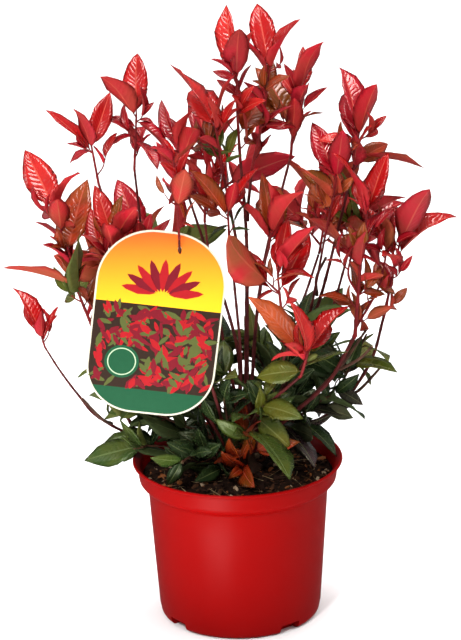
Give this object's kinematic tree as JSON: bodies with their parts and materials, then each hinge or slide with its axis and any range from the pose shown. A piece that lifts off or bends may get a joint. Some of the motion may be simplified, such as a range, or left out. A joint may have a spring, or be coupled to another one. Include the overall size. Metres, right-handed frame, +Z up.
{
  "type": "potted red tip photinia",
  "caption": "Shrub of many upright red-tipped leafy shoots, standing in a round red plastic nursery pot, with a plain arched label card hung on its front.",
  "frame": {"origin": "centre of the pot's flat underside, on the surface that the pot stands on", "axes": "+Z up along the pot's axis, -Y towards the front, where the label card hangs, +X to the right seen from the front"},
  "size_m": [0.4046, 0.2962, 0.5612],
  "materials": {
    "pot_plastic": "satin moulded red plastic",
    "bark_soil": "moist dark bark compost",
    "stem_bark": "smooth dark maroon bark",
    "card_stock": null,
    "scarlet_leaf": "glossy young scarlet leaf",
    "crimson_leaf": "glossy crimson leaf",
    "coral_leaf": "satin coral leaf",
    "bronze_leaf": "satin bronze leaf",
    "orange_leaf": "satin orange leaf",
    "olive_leaf": "leathery olive leaf",
    "green_leaf": "leathery green leaf",
    "dark_leaf": "leathery dark green leaf",
    "purple_leaf": "leathery purple-grey leaf"
  },
  "bodies": {
    "root": {"pot": "pot_plastic", "soil": "bark_soil", "trunk": "stem_bark", "stem_front_low": "stem_bark", "stem_left_high": "stem_bark", "stem_left_inner": "stem_bark", "stem_left_mid": "stem_bark", "stem_left_out": "stem_bark", "stem_low_shoot": "stem_bark", "stem_middle_back": "stem_bark", "stem_middle_left": "stem_bark", "stem_middle_low": "stem_bark", "stem_over_label": "stem_bark", "stem_rear_left": "stem_bark", "stem_rear_middle": "stem_bark", "stem_rear_right": "stem_bark", "stem_rear_side": "stem_bark", "stem_right_high": "stem_bark", "stem_right_inner": "stem_bark", "stem_right_mid": "stem_bark", "stem_right_out": "stem_bark", "stem_right_top": "stem_bark", "stem_top_left": "stem_bark", "stem_top_middle": "stem_bark", "stem_top_right": "stem_bark", "stem_upper_left": "stem_bark", "label_card": "card_stock", "leaves_front_low": "scarlet_leaf", "leaves_green_centre": "dark_leaf", "leaves_green_front": "green_leaf", "leaves_green_left": "dark_leaf", "leaves_green_left_low": "dark_leaf", "leaves_green_rear_left": "dark_leaf", "leaves_green_rear_right": "green_leaf", "leaves_green_right": "dark_leaf", "leaves_green_right_low": "dark_leaf", "leaves_green_rim_left": "green_leaf", "leaves_left_high": "crimson_leaf", "leaves_left_inner": "crimson_leaf", "leaves_left_mid": "scarlet_leaf", "leaves_left_out": "bronze_leaf", "leaves_low_shoot": "scarlet_leaf", "leaves_middle_back": "bronze_leaf", "leaves_middle_left": "scarlet_leaf", "leaves_middle_low": "scarlet_leaf", "leaves_over_label": "scarlet_leaf", "leaves_rear_left": "bronze_leaf", "leaves_rear_middle": "crimson_leaf", "leaves_rear_right": "bronze_leaf", "leaves_rear_side": "crimson_leaf", "leaves_right_high": "crimson_leaf", "leaves_right_inner": "crimson_leaf", "leaves_right_mid": "crimson_leaf", "leaves_right_out": "scarlet_leaf", "leaves_right_top": "scarlet_leaf", "leaves_top_left": "scarlet_leaf", "leaves_top_middle": "coral_leaf", "leaves_top_right": "crimson_leaf", "leaves_upper_left": "coral_leaf"}
  },
  "joints": []
}
